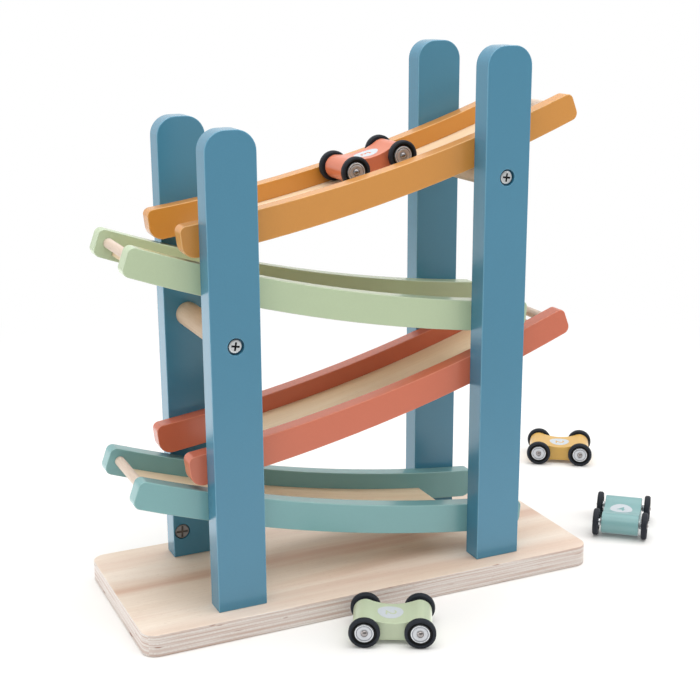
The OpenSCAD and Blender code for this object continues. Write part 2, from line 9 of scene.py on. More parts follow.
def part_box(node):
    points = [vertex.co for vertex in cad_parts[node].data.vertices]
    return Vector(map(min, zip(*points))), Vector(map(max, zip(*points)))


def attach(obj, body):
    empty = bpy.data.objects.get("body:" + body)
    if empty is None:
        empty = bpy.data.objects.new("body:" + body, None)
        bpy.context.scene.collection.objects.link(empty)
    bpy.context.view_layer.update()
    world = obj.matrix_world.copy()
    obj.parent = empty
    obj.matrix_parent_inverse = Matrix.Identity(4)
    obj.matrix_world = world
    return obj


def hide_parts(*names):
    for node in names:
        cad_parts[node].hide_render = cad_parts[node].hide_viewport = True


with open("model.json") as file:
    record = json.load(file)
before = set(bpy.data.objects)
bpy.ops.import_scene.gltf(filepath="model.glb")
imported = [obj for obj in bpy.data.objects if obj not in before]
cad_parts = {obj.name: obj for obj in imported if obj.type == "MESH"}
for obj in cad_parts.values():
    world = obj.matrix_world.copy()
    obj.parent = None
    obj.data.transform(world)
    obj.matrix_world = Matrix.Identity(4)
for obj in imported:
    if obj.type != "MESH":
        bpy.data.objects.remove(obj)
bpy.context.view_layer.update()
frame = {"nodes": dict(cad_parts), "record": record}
nodes = frame["nodes"]
slotOf = {part["node"]: part["material_slot"] for part in frame["record"]["subparts"]}
mm = 0.001
print("frame loaded:", len(nodes), "nodes")

# The camera stands where the photograph was taken from: metres, degrees, and millimetres for its lens.
cameraView = {"place": (-0.32701448, -0.72176873, 0.36867416), "turn": (74.47893, 0.24971, -24.85722),
              "lens": 67.98876, "sensor": 36}

# Soft boxes in a white room; places and sizes in metres, power in watts.
softLights = {
    "overhead_light": {"place": (0, -0.10, 1.35), "size": 1.9, "power": 21.5},
    "right_fill": {"place": (1.20, -0.70, 0.90), "size": 1.0, "power": 4.9},
    "left_window": {"place": (-1.40, 0.15, 0.40), "size": 0.9, "power": 5.0},
}
lightTarget = Vector((0, 0, 0.15))
plainWhite = (1, 1, 1, 1)
# The room lights the toy from all round. In gloss it is darker behind the camera, and brightens between
# two directions along Y, of -1 to 1.
room = {"ambient": 0.56, "behindCamera": 0.35, "behindToy": 1.05, "darkAt": -0.9, "brightAt": 0.0}
# The floor's paper, with distances in metres: it whitens away from the toy. In gloss it is brightest at
# the back left, brighter again near the toy, and shaded right at the floor.
paper = {"size": 14, "drop": 0.0002, "colour": "#ECEBE9", "glow": 0.07, "whiteFrom": 0.30, "whiteTo": 0.75,
         "sheenPlace": (-0.45, 0.60, 0), "sheenFrom": 0.1, "sheenTo": 0.65, "sheen": 1.9, "sheenFar": 0.95,
         "nearFrom": 0.15, "nearTo": 0.6, "sheenNear": 0.7,
         "contactFrom": 0.003, "contactTo": 0.012, "contactShare": 0.2}


def linear(hexColour, share=1.0):   # an sRGB hex value as the linear colour that a shader takes
    parts = [int(hexColour[i:i + 2], 16) / 255 for i in (1, 3, 5)]
    return tuple(share * (c / 12.92 if c <= 0.04045 else ((c + 0.055) / 1.055) ** 2.4) for c in parts) + (1,)


def put(tree, kind, settings, output=0):   # adds a node with its settings and links, gives its output
    made = tree.nodes.new("ShaderNode" + kind)
    for name, value in settings.items():
        if isinstance(value, bpy.types.NodeSocket):
            tree.links.new(value, made.inputs[name])
        elif isinstance(name, int) or name in made.inputs:
            made.inputs[name].default_value = value
        else:
            setattr(made, name, value)
    return made.outputs[output] if made.outputs else made


def addCamera(view):
    bpy.ops.object.camera_add(location=view["place"],
                              rotation=[math.radians(a) for a in view["turn"]])
    camera = bpy.context.object
    camera.name = "photo_camera"
    camera.data.lens, camera.data.sensor_width = view["lens"], view["sensor"]
    bpy.context.scene.camera = camera


def addSoftLight(name, light):
    aim = (lightTarget - Vector(light["place"])).to_track_quat("-Z", "Y").to_euler()
    bpy.ops.object.light_add(type="AREA", location=light["place"], rotation=aim)
    lamp = bpy.context.object
    lamp.name = name
    lamp.data.size, lamp.data.energy = light["size"], light["power"]


def seenRays(tree):   # 1 for what the camera sees, straight, in gloss or through glass
    mirrored = put(tree, "Math", {"operation": "MAXIMUM", 0: put(tree, "LightPath", {}, "Is Glossy Ray"),
                                  1: put(tree, "LightPath", {}, "Is Transmission Ray")})
    return put(tree, "Math", {"operation": "MAXIMUM", 0: mirrored, 1: put(tree, "LightPath", {}, "Is Camera Ray")})


def addRoom():   # soft light from all round, plain white to the camera, and brighter or darker in gloss
    world = bpy.data.worlds.new("white_room")
    bpy.context.scene.world = world
    world.use_nodes = True
    tree = world.node_tree
    tree.nodes.clear()
    ahead = put(tree, "SeparateXYZ", {0: put(tree, "TexCoord", {}, "Generated")}, "Y")
    mirrored = put(tree, "MapRange", {0: ahead, 1: room["darkAt"], 2: room["brightAt"],
                                      3: room["behindCamera"], 4: room["behindToy"]})
    seen = put(tree, "Mix", {"data_type": "FLOAT", 0: put(tree, "LightPath", {}, "Is Glossy Ray"),
                             2: 1.0, 3: mirrored})
    strength = put(tree, "Mix", {"data_type": "FLOAT", 0: seenRays(tree), 2: room["ambient"], 3: seen})
    put(tree, "OutputWorld", {"Surface": put(tree, "Background", {"Color": plainWhite, "Strength": strength})})


def paperSheen(tree, spot, away):   # how bright gloss sees the paper
    fromSheen = put(tree, "VectorMath", {"operation": "DISTANCE", 0: spot, 1: paper["sheenPlace"]}, "Value")
    sheen = put(tree, "MapRange", {"interpolation_type": "SMOOTHSTEP", 0: fromSheen, 1: paper["sheenFrom"],
                                   2: paper["sheenTo"], 3: paper["sheen"], 4: paper["sheenFar"]})
    nearToy = put(tree, "MapRange", {"interpolation_type": "SMOOTHSTEP", 0: away, 1: paper["nearFrom"],
                                     2: paper["nearTo"], 3: paper["sheenNear"], 4: 0.0})
    sheen = put(tree, "Math", {"operation": "ADD", 0: sheen, 1: nearToy})
    contact = put(tree, "MapRange", {0: put(tree, "LightPath", {}, "Ray Length"), 1: paper["contactFrom"],
                                     2: paper["contactTo"], 3: paper["contactShare"], 4: 1.0})
    return put(tree, "Math", {"operation": "MULTIPLY", 0: sheen, 1: contact})


def addFloor():
    bpy.ops.object.select_all(action="DESELECT")
    bpy.ops.mesh.primitive_plane_add(size=paper["size"], location=(0, 0, -paper["drop"]))
    floor = bpy.context.object
    floor.name = "floor"
    # Matt white paper: takes the toy's soft shadow, and runs out into the white room.
    sheet = bpy.data.materials.new("matt_white_paper")
    sheet.use_nodes = True
    tree = sheet.node_tree
    tree.nodes.clear()
    glow = put(tree, "Emission", {"Color": plainWhite, "Strength": put(
        tree, "Math", {"operation": "MULTIPLY", 0: seenRays(tree), 1: paper["glow"]})})
    near = put(tree, "AddShader", {0: put(tree, "BsdfDiffuse", {"Color": linear(paper["colour"])}), 1: glow})
    spot = put(tree, "TexCoord", {}, "Object")
    away = put(tree, "VectorMath", {"operation": "LENGTH", 0: spot}, "Value")
    far = put(tree, "MapRange", {"interpolation_type": "SMOOTHSTEP", 0: away,
                                 1: paper["whiteFrom"], 2: paper["whiteTo"], 3: 0.0, 4: 1.0})
    mirrored = put(tree, "LightPath", {}, "Is Glossy Ray")
    far = put(tree, "Math", {"operation": "MAXIMUM", 0: mirrored, 1: far})
    far = put(tree, "Math", {"operation": "MULTIPLY", 0: far, 1: seenRays(tree)})
    whitened = put(tree, "Emission", {"Color": plainWhite, "Strength": put(
        tree, "Mix", {"data_type": "FLOAT", 0: mirrored, 2: 1.0, 3: paperSheen(tree, spot, away)})})
    put(tree, "OutputMaterial", {"Surface": put(tree, "MixShader", {0: far, 1: near, 2: whitened})})
    floor.data.materials.append(sheet)


addCamera(cameraView)
for name, light in softLights.items():
    addSoftLight(name, light)
addRoom()
addFloor()
bpy.context.scene.view_settings.view_transform = "Standard"
print("camera, lights and floor set")


def grainSize(x, y, z):   # a pattern's scale from the size of its marks in millimetres
    return (1 / (x * mm), 1 / (y * mm), 1 / (z * mm))


def newFinish(name):
    finish = bpy.data.materials.new(name)
    finish.use_nodes = True
    finish.node_tree.nodes.clear()
    return finish, finish.node_tree, put(finish.node_tree, "TexCoord", {}, "Object")


def sprayedPaint(name, paint, place=None):
    finish, tree, coords = newFinish(name)
    if place is not None:   # the pattern keeps to the car's own length and width
        back = place.inverted()
        coords = put(tree, "Mapping", {"Vector": coords, "Location": back.to_translation(),
                                       "Rotation": back.to_euler()})
    cloud = put(tree, "TexNoise", {"Detail": 3, "Scale": 1, "Vector": put(
        tree, "Mapping", {"Vector": coords, "Scale": grainSize(*paint["clouds"])})})
    stipple = put(tree, "TexNoise", {"Detail": 1, "Scale": 1, "Vector": put(
        tree, "Mapping", {"Vector": coords, "Scale": grainSize(*paint["stipple"])})})
    plies = put(tree, "TexNoise", {"Detail": 2, "Scale": 1, "Vector": put(
        tree, "Mapping", {"Vector": coords, "Scale": grainSize(*paint["plies"])})})
    # Each pattern averages a half, and so does the tone that they add up to.
    tone = 0.5 - 0.5 * (paint["cloudy"] + paint["stippled"] + paint["plied"])
    for pattern, share in ((cloud, paint["cloudy"]), (stipple, paint["stippled"]), (plies, paint["plied"])):
        tone = put(tree, "Math", {"operation": "MULTIPLY_ADD", 0: pattern, 1: share, 2: tone})
    colour = put(tree, "Mix", {"data_type": "RGBA", 0: tone, 6: linear(paint["colour"], paint["darkest"]),
                               7: linear(paint["colour"], paint["lightest"])}, 2)
    # Paler on the eased edges: partly thinner paint, partly a painted highlight along each edge.
    thinPaintAndHighlight = put(tree, "Math", {"operation": "MULTIPLY", 1: paint["edgeShare"], 0: put(
        tree, "Attribute", {"attribute_name": "easedEdge"}, "Fac")})
    colour = put(tree, "Mix", {"data_type": "RGBA", 0: thinPaintAndHighlight, 6: colour, 7: linear(paint["edge"])}, 2)
    skin = put(tree, "Bump", {"Strength": 0.35, "Distance": paint["stippleDepth"] * mm, "Height": stipple})
    skin = put(tree, "Bump", {"Strength": 0.5, "Distance": paint["pliesDepth"] * mm, "Height": plies,
                              "Normal": skin})
    put(tree, "OutputMaterial", {"Surface": put(tree, "BsdfPrincipled", {
        "Base Color": colour, "Roughness": paint["roughness"], "IOR": paint["ior"], "Normal": skin})})
    return finish


# What every spray of the lacquer leaves: the sizes and depths of its marks in millimetres, and the shares of
# its colour that they darken and lighten it to.
spray = {"clouds": (30, 30, 30), "stipple": (0.7, 0.7, 0.7), "stippleDepth": 0.008, "pliesDepth": 0.015,
         "darkest": 0.8, "lightest": 1.2}
# Birch plywood boards, sprayed with satin acrylic lacquer: an even skin with a fine stipple, the
# 1.5 mm plies just showing through as lines, and paler on the eased edges, partly where the paint is thin and
# partly as a painted highlight.
boardPaint = {**spray, "roughness": 0.24, "ior": 1.55, "plies": (200, 1.5, 200), "cloudy": 0.10,
              "stippled": 0.16, "plied": 0.20, "edgeShare": 0.35}
paints = {
    "blue_painted_wood": {"colour": "#427F9A", "edge": "#79AFC8"},
    "orange_painted_rail": {"colour": "#CA893A", "edge": "#EBC287"},
    "green_painted_rail": {"colour": "#B2C29F", "edge": "#C3D0B8"},
    "red_painted_rail": {"colour": "#C6684B", "edge": "#DE8E74"},
    "teal_painted_rail": {"colour": "#74A3A4", "edge": "#A0C4C0"},
}
finishes = {slot: sprayedPaint("satin_lacquer_" + slot, {**boardPaint, **paint}) for slot, paint in paints.items()}


# The values of each pattern, of 0 to 1, at which its marks in the wood begin and are full. The streaks are
# shifted off the bands, and the fibres are a darker shade of the deep colour.
figure = {"bandFrom": 0.3, "bandTo": 0.7, "streakFrom": 0.52, "streakTo": 0.75, "streakShift": (3.1, 1.7, 0.4),
          "fibreFrom": 0.35, "fibreTo": 0.7, "fibreShade": 0.7, "fleckFrom": 0.66, "fleckTo": 0.74}


def woodFigure(tree, coords, wood):   # colour and fibre height of a wood whose grain runs along X
    bands = put(tree, "TexNoise", {"Detail": 4, "Distortion": 0.8, "Scale": 1, "Vector": put(
        tree, "Mapping", {"Vector": coords, "Scale": grainSize(*wood["bands"])})})
    streaks = put(tree, "TexNoise", {"Detail": 3, "Distortion": 0.5, "Scale": 1, "Vector": put(
        tree, "Mapping", {"Vector": coords, "Scale": grainSize(*wood["streaks"]),
                          "Location": figure["streakShift"]})})
    fibres = put(tree, "TexNoise", {"Detail": 2, "Scale": 1, "Vector": put(
        tree, "Mapping", {"Vector": coords, "Scale": grainSize(*wood["fibres"])})})
    flecks = put(tree, "TexNoise", {"Detail": 1, "Scale": 1, "Vector": put(
        tree, "Mapping", {"Vector": coords, "Scale": grainSize(*wood["flecks"])})})
    colour = linear(wood["pale"])
    for pattern, mark, share, tint in (
            (bands, "band", 1.0, linear(wood["deep"])),
            (streaks, "streak", wood["streaked"], linear(wood["streak"])),
            (fibres, "fibre", wood["fibred"], linear(wood["deep"], figure["fibreShade"])),
            (flecks, "fleck", wood["flecked"], linear(wood["fleck"]))):
        shown = put(tree, "MapRange", {0: pattern, 1: figure[mark + "From"], 2: figure[mark + "To"], 4: share})
        colour = put(tree, "Mix", {"data_type": "RGBA", 0: shown, 6: colour, 7: tint}, 2)
    return colour, fibres


def sandedWood(name, wood):
    finish, tree, coords = newFinish(name)
    coords = put(tree, "Mapping", {"Vector": coords, "Rotation": (0, 0, math.radians(wood["turn"]))})
    colour, fibres = woodFigure(tree, coords, wood)
    skin = put(tree, "Bump", {"Strength": 0.4, "Distance": wood["fibreDepth"] * mm, "Height": fibres})
    put(tree, "OutputMaterial", {"Surface": put(tree, "BsdfPrincipled", {
        "Base Color": colour, "Roughness": wood["roughness"], "IOR": wood["ior"], "Normal": skin})})
    return finish


# Thin birch plywood bent along the ramp, clear matt lacquer: pale, with long soft grain down the ramp.
deckWood = {"turn": 0, "roughness": 0.45, "ior": 1.38, "pale": "#F2E1C6", "deep": "#E5CDAB",
            "streak": "#C9A884", "fleck": "#B08E68", "bands": (200, 14, 200), "streaks": (250, 25, 250),
            "streaked": 0.45, "fibres": (25, 0.7, 25), "fibred": 0.14, "fibreDepth": 0.04,
            "flecks": (5, 0.42, 5), "flecked": 0.3}
# Turned beech, bare and sanded: warm pinkish cream with short darker ray flecks along the dowel.
dowelWood = {"turn": 90, "roughness": 0.55, "ior": 1.38, "pale": "#E0D1C4", "deep": "#CFBBAA",
             "streak": "#BA9C85", "fleck": "#A47E60", "bands": (125, 6, 6), "streaks": (110, 17, 17),
             "streaked": 0.4, "fibres": (17, 0.7, 0.7), "fibred": 0.16, "fibreDepth": 0.04,
             "flecks": (2.4, 0.45, 0.45), "flecked": 0.45}
finishes["deck_veneer"] = sandedWood("clear_lacquered_birch_veneer", deckWood)
finishes["beech_dowel"] = sandedWood("sanded_beech", dowelWood)
# The two spacers are of a browner beech.
finishes["spacer_dowel"] = sandedWood("sanded_brown_beech", {
    **dowelWood, "pale": "#D2BEA8", "deep": "#BDA68B", "streak": "#A88A6B"})


def heartStreak(tree, coords, heart):   # the share of the one broad darker streak down the board
    bend = put(tree, "TexNoise", {"Detail": 3, "Scale": 1, "Vector": put(
        tree, "Mapping", {"Vector": coords, "Scale": grainSize(*heart["bends"])})})
    across = put(tree, "Math", {"operation": "MULTIPLY_ADD", 0: bend, 1: heart["waver"] * mm, 2: put(
        tree, "SeparateXYZ", {0: coords}, "Y")})
    fromHeart = put(tree, "Math", {"operation": "ABSOLUTE", 0: put(tree, "Math", {
        "operation": "SUBTRACT", 0: across, 1: (heart["line"] + heart["waver"] / 2) * mm})})
    return put(tree, "MapRange", {"interpolation_type": "SMOOTHSTEP", 0: fromHeart, 1: 0.0,
                                  2: heart["half"] * mm, 3: heart["share"], 4: 0.0})


def plyEdge(tree, coords, edge):   # colour of the plies round the board's edge, and height of their lines
    low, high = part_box("base_board")
    perMetre = edge["plies"] / (high.z - low.z)
    wave = put(tree, "TexNoise", {"Detail": 2, "Scale": 1, "Vector": put(
        tree, "Mapping", {"Vector": coords, "Scale": grainSize(*edge["waves"])})})
    height = put(tree, "Math", {"operation": "MULTIPLY_ADD", 0: wave, 1: edge["waveHeight"] * mm, 2: put(
        tree, "SeparateXYZ", {0: coords}, "Z")})
    ply = put(tree, "Math", {"operation": "MULTIPLY_ADD", 0: height, 1: perMetre,
                             2: -edge["waveHeight"] / 2 * mm * perMetre})
    across = put(tree, "Math", {"operation": "FRACT", 0: ply})
    odd = put(tree, "Math", {"operation": "FLOORED_MODULO", 0: put(
        tree, "Math", {"operation": "FLOOR", 0: ply}), 1: 2.0})
    facing = put(tree, "TexCoord", {}, "Normal")
    alongX, alongY = (put(tree, "Math", {"operation": "ABSOLUTE", 0: put(
        tree, "SeparateXYZ", {0: facing}, axis)}) for axis in "XY")
    endGrain = put(tree, "Math", {"operation": "ABSOLUTE", 0: put(tree, "Math", {
        "operation": "SUBTRACT", 0: odd, 1: put(tree, "Math", {
            "operation": "GREATER_THAN", 0: alongX, 1: alongY})})})
    lines = put(tree, "TexNoise", {"Detail": 3, "Scale": 1, "Vector": put(
        tree, "Mapping", {"Vector": coords, "Scale": grainSize(*edge["lines"])})})
    speckle = put(tree, "TexNoise", {"Detail": 3, "Scale": 1, "Vector": put(
        tree, "Mapping", {"Vector": coords, "Scale": grainSize(*edge["speckles"])})})
    longGrain = put(tree, "Mix", {"data_type": "RGBA", 6: linear(edge["long"]), 7: linear(edge["end"]), 0: put(
        tree, "MapRange", {0: lines, 1: edge["lineFrom"], 2: edge["lineTo"]})}, 2)
    crossGrain = put(tree, "Mix", {"data_type": "RGBA", 6: linear(edge["end"]), 7: linear(edge["long"]), 0: put(
        tree, "MapRange", {0: speckle, 1: edge["speckleFrom"], 2: edge["speckleTo"], 4: edge["speckled"]})}, 2)
    side = put(tree, "Mix", {"data_type": "RGBA", 0: endGrain, 6: longGrain, 7: crossGrain}, 2)
    glue = put(tree, "MapRange", {1: edge["glueFrom"], 2: edge["glueTo"], 4: edge["glueShare"], 0: put(
        tree, "Math", {"operation": "ABSOLUTE", 0: put(
            tree, "Math", {"operation": "SUBTRACT", 0: across, 1: 0.5})})})
    side = put(tree, "Mix", {"data_type": "RGBA", 0: glue, 6: side, 7: linear(edge["glue"])}, 2)
    gaps = put(tree, "TexNoise", {"Detail": 2, "Scale": 1, "Vector": put(
        tree, "Mapping", {"Vector": coords, "Scale": grainSize(*edge["gaps"]), "Location": edge["gapShift"]})})
    side = put(tree, "Mix", {"data_type": "RGBA", 6: side, 7: linear(edge["gap"]), 0: put(
        tree, "MapRange", {0: gaps, 1: edge["gapFrom"], 2: edge["gapTo"]})}, 2)
    return side, lines


def birchPlywood(name, wood, edge, heart):   # the face's figure on top and beneath, the plies at the edge
    finish, tree, coords = newFinish(name)
    face, fibres = woodFigure(tree, coords, wood)
    face = put(tree, "Mix", {"data_type": "RGBA", 0: heartStreak(tree, coords, heart), 6: face,
                             7: linear(heart["colour"])}, 2)
    side, lines = plyEdge(tree, coords, edge)
    upright = put(tree, "Math", {"operation": "ABSOLUTE", 0: put(
        tree, "SeparateXYZ", {0: put(tree, "TexCoord", {}, "Normal")}, "Z")})
    onTop = put(tree, "MapRange", {0: upright, 1: wood["faceFrom"], 2: wood["faceTo"]})
    colour = put(tree, "Mix", {"data_type": "RGBA", 0: onTop, 6: side, 7: face}, 2)
    relief = put(tree, "Mix", {"data_type": "FLOAT", 0: onTop, 2: lines, 3: fibres})
    skin = put(tree, "Bump", {"Strength": 0.4, "Distance": wood["fibreDepth"] * mm, "Height": relief})
    put(tree, "OutputMaterial", {"Surface": put(tree, "BsdfPrincipled", {
        "Base Color": colour, "Roughness": wood["roughness"], "IOR": wood["ior"], "Normal": skin})})
    return finish


# Birch plywood board, clear matt lacquer: rotary-cut face grain with pink-brown streaks, and nine
# plies at the edge, by turns long grain (pinkish, lined) and end grain (pale grey, speckled).
boardWood = {"roughness": 0.5, "ior": 1.45, "pale": "#F0E3D5", "deep": "#E4CFBB", "streak": "#D0A992",
             "fleck": "#A9866C", "bands": (250, 28, 250), "streaks": (330, 26, 330), "streaked": 0.6,
             "fibres": (25, 0.7, 25), "fibred": 0.14, "fibreDepth": 0.05, "flecks": (4, 0.4, 4),
             "flecked": 0.3, "faceFrom": 0.55, "faceTo": 0.85}
# Sizes are in millimetres, and a glue line is placed by its share of a ply from the ply's middle.
boardEdge = {"plies": 9, "waves": (60, 60, 60), "waveHeight": 0.7, "long": "#C3A99C", "end": "#DFD9D3",
             "lines": (40, 40, 0.8), "lineFrom": 0.35, "lineTo": 0.7,
             "speckles": (0.9, 0.9, 0.5), "speckleFrom": 0.4, "speckleTo": 0.75, "speckled": 0.6,
             "glue": "#A88A7C", "glueFrom": 0.40, "glueTo": 0.48, "glueShare": 0.45,
             "gap": "#8E5A45", "gaps": (18, 18, 1.9), "gapShift": (0.7, 2.1, 0.3), "gapFrom": 0.69, "gapTo": 0.76}
# The board's one streak runs along X: its middle's place in Y, half its width and how far it wavers.
boardHeart = {"line": 4, "half": 13, "waver": 22, "bends": (150, 12, 150), "colour": "#C8997F", "share": 0.6}
finishes["birch_plywood"] = birchPlywood("clear_lacquered_birch_plywood", boardWood, boardEdge, boardHeart)


def evenSkin(skin):   # metal, plastic or rubber: one colour with a fine grain, darker in marked recesses
    finish, tree, coords = newFinish(skin["name"])
    grain = put(tree, "TexNoise", {"Detail": 2, "Scale": 1, "Vector": put(
        tree, "Mapping", {"Vector": coords, "Scale": grainSize(*[skin["grain"]] * 3)})})
    colour = put(tree, "Mix", {"data_type": "RGBA", 0: grain, 6: linear(skin["colour"], skin["darkest"]),
                               7: linear(skin["colour"], skin["lightest"])}, 2)
    # Painted shade: faces marked in a recess take a darker colour, standing in for the light that reaches less far
    # in.
    recess = put(tree, "Attribute", {"attribute_name": "recess"}, "Fac")
    colour = put(tree, "Mix", {"data_type": "RGBA", 0: recess, 6: colour, 7: linear(skin["recess"])}, 2)
    bumps = put(tree, "Bump", {"Strength": skin["relief"], "Distance": skin["depth"] * mm, "Height": grain})
    put(tree, "OutputMaterial", {"Surface": put(tree, "BsdfPrincipled", {
        "Base Color": colour, "Metallic": skin["metallic"], "Roughness": skin["roughness"],
        "IOR": skin["ior"], "Normal": bumps})})
    return finish


# What the metals and the silver plastic share. Grain and depth are in millimetres.
silvery = {"ior": 1.5, "darkest": 0.9, "lightest": 1.08, "depth": 0.02}
skins = {
    # zinc-plated steel wood screws: pale bluish grey with a soft shine, and painted shade dark down in the cross
    "zinc_plated_steel": {**silvery, "name": "zinc_plated_steel", "colour": "#C5C8C8", "recess": "#2B2A2C",
                          "metallic": 0.9, "roughness": 0.34, "grain": 1.1, "relief": 0.25},
    # die-cast zinc cam nuts: dull dark grey with a fine cast grain, and painted shade in the cross
    "zinc_casting": {**silvery, "name": "die_cast_zinc", "colour": "#9C9DA1", "recess": "#6E6A68",
                     "metallic": 0.8, "roughness": 0.45, "grain": 0.7, "relief": 0.5},
    # polished steel axles: bright domed ends
    "axle_steel": {**silvery, "name": "polished_steel", "colour": "#8C8786", "recess": "#55565A",
                   "metallic": 1.0, "roughness": 0.2, "grain": 1.4, "relief": 0.1},
    # moulded ABS hubs, vacuum coated silver: bright and a little milky, with painted shade in the ring groove and
    # the cup
    "silver_hub_plastic": {**silvery, "name": "silver_coated_abs", "colour": "#CED0D3", "recess": "#8C8E94",
                           "metallic": 0.55, "roughness": 0.26, "grain": 2.0, "relief": 0.06},
    # moulded black rubber: matt, slightly bluish black with a faint mould grain, blackest next to the hub from
    # painted shade in the recess
    "tyre_rubber": {"name": "moulded_black_rubber", "colour": "#20242B", "recess": "#08090B", "ior": 1.3,
                    "darkest": 0.8, "lightest": 1.25, "metallic": 0.0, "roughness": 0.6, "grain": 0.9,
                    "relief": 0.3, "depth": 0.03},
}
for slot, skin in skins.items():
    finishes[slot] = evenSkin(skin)
print("materials made:", len(finishes))


def only(*pieces):
    bpy.ops.object.select_all(action="DESELECT")
    for piece in pieces:
        piece.select_set(True)
    bpy.context.view_layer.objects.active = pieces[0]


def editMode(kind):
    bpy.ops.object.mode_set(mode="EDIT")
    bpy.ops.mesh.select_mode(type=kind)
    bpy.ops.mesh.select_all(action="DESELECT")
    return bmesh.from_edit_mesh(bpy.context.object.data)


def objectMode():
    bmesh.update_edit_mesh(bpy.context.object.data)
    bpy.ops.object.mode_set(mode="OBJECT")


slack = 0.02        # millimetres, within which two places are one
flatWithin = 0.05   # degrees between the triangles of one flat face
straight = 0.9      # the least part of a normal along an axis when its face looks that way
crispFrom = {"cad": 38, "turned": 30, "domed": 40, "printed": 40}   # degrees at an edge that stays crisp
wall = {"height": 0.9, "lean": 0.1}   # a wall's share of the thickness at least, and its normal's lean at most


def wholeCopy(nodeName):   # a CAD node's loose triangles, merged, with its flat faces whole again
    piece = bpy.data.objects.new(nodeName + "_dressed", nodes[nodeName].data.copy())
    bpy.context.scene.collection.objects.link(piece)
    only(piece)
    bpy.ops.mesh.customdata_custom_splitnormals_clear()
    bpy.ops.object.mode_set(mode="EDIT")
    bpy.ops.mesh.select_all(action="SELECT")
    bpy.ops.mesh.remove_doubles(threshold=slack * mm)
    bpy.ops.mesh.dissolve_limited(angle_limit=math.radians(flatWithin))
    bpy.ops.object.mode_set(mode="OBJECT")
    return piece


def markFaces(piece, attribute, wanted, value=1.0):   # sets a face attribute that a finish reads
    layer = piece.data.attributes.get(attribute) or piece.data.attributes.new(attribute, "FLOAT", "FACE")
    for face in piece.data.polygons:
        if wanted(face):
            layer.data[face.index].value = value


def easeEdges(piece, width, steps, wanted):
    only(piece)
    work = editMode("EDGE")
    crisp = math.radians(crispFrom["cad"])
    for edge in work.edges:
        if len(edge.link_faces) == 2 and edge.calc_face_angle(0) > crisp and wanted(edge):
            edge.select_set(True)
    bmesh.update_edit_mesh(piece.data)
    bpy.ops.mesh.bevel(offset=width * mm, segments=steps, affect="EDGES", clamp_overlap=False)
    objectMode()
    markFaces(piece, "easedEdge", lambda face: face.select)


def smoothFaces(piece, kind="cad"):
    only(piece)
    bpy.ops.object.shade_smooth_by_angle(angle=math.radians(crispFrom[kind]))
    bpy.ops.object.modifier_add(type="WEIGHTED_NORMAL")
    piece.modifiers[-1].keep_sharp = True
    bpy.ops.object.modifier_apply(modifier=piece.modifiers[-1].name)


def wallOf(axis, thickness):   # edges of the walls that run through the whole thickness of a board
    def wanted(edge):
        for face in edge.link_faces:
            places = [corner.co[axis] for corner in face.verts]
            tall = max(places) - min(places) > wall["height"] * thickness * mm
            if tall and abs(face.normal[axis]) < wall["lean"]:
                return True
        return False
    return wanted


def settle(piece, body, finish, slot, *replaced):
    piece.data.materials.clear()
    piece.data.materials.append(finish)
    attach(piece, body)
    if replaced:
        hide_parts(*replaced)


# Corners within this many millimetres are one, and X places are compared to decimals of a metre.
solids = {"touching": 0.001, "decimals": 4}


def solidsOf(nodeName):   # the boxes of a node's separate solids, left to right and front to rear
    work = bmesh.new()
    work.from_mesh(nodes[nodeName].data)
    bmesh.ops.remove_doubles(work, verts=work.verts, dist=solids["touching"] * mm)
    unseen, boxes = set(work.verts), []
    while unseen:
        reached, found = [unseen.pop()], []
        while reached:
            corner = reached.pop()
            found.append(corner.co.copy())
            for edge in corner.link_edges:
                other = edge.other_vert(corner)
                if other in unseen:
                    unseen.remove(other)
                    reached.append(other)
        boxes.append((Vector(min(c[i] for c in found) for i in range(3)),
                      Vector(max(c[i] for c in found) for i in range(3))))
    work.free()
    return sorted(boxes, key=lambda box: (round(box[0].x, solids["decimals"]), box[0].y))


# The stand: its board, posts, rails and decks keep their sizes and get eased edges, in millimetres.
board = {"edge": 0.6, "steps": 3}
posts = {"edge": 0.55, "steps": 3, "boreEdge": 0.3, "boreSteps": 2, "longestOfRim": 2, "clearOfEnds": 30}
rails = {"edge": 0.5, "steps": 3}
decks = {"edge": 0.3, "steps": 2, "shortestAcross": 40}


def dressPlate(nodeName, plate, axis):   # a board or rail, eased round the walls through its thickness
    low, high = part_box(nodeName)
    slot = slotOf[nodeName]
    piece = wholeCopy(nodeName)
    easeEdges(piece, plate["edge"], plate["steps"], wallOf(axis, (high[axis] - low[axis]) / mm))
    smoothFaces(piece)
    settle(piece, "stand", finishes[slot], slot, nodeName)


def dressPost(nodeName):
    low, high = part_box(nodeName)
    outside = low.y if nodeName.startswith("front") else high.y
    lowest, highest = low.z + posts["clearOfEnds"] * mm, high.z - posts["clearOfEnds"] * mm
    piece = wholeCopy(nodeName)
    easeEdges(piece, posts["edge"], posts["steps"], wallOf(1, (high.y - low.y) / mm))

    def boreRim(edge):   # the short edges round the screw's bore, on the outer face only
        onFace = all(abs(corner.co.y - outside) < slack * mm for corner in edge.verts)
        return onFace and edge.calc_length() < posts["longestOfRim"] * mm and all(
            lowest < corner.co.z < highest for corner in edge.verts)
    easeEdges(piece, posts["boreEdge"], posts["boreSteps"], boreRim)
    smoothFaces(piece)
    settle(piece, "stand", finishes["blue_painted_wood"], "blue_painted_wood", nodeName)


def dressDeck(nodeName):
    piece = wholeCopy(nodeName)
    easeEdges(piece, decks["edge"], decks["steps"],
              lambda edge: abs(edge.verts[0].co.y - edge.verts[1].co.y) > decks["shortestAcross"] * mm)
    smoothFaces(piece)
    settle(piece, "stand", finishes["deck_veneer"], "deck_veneer", nodeName)


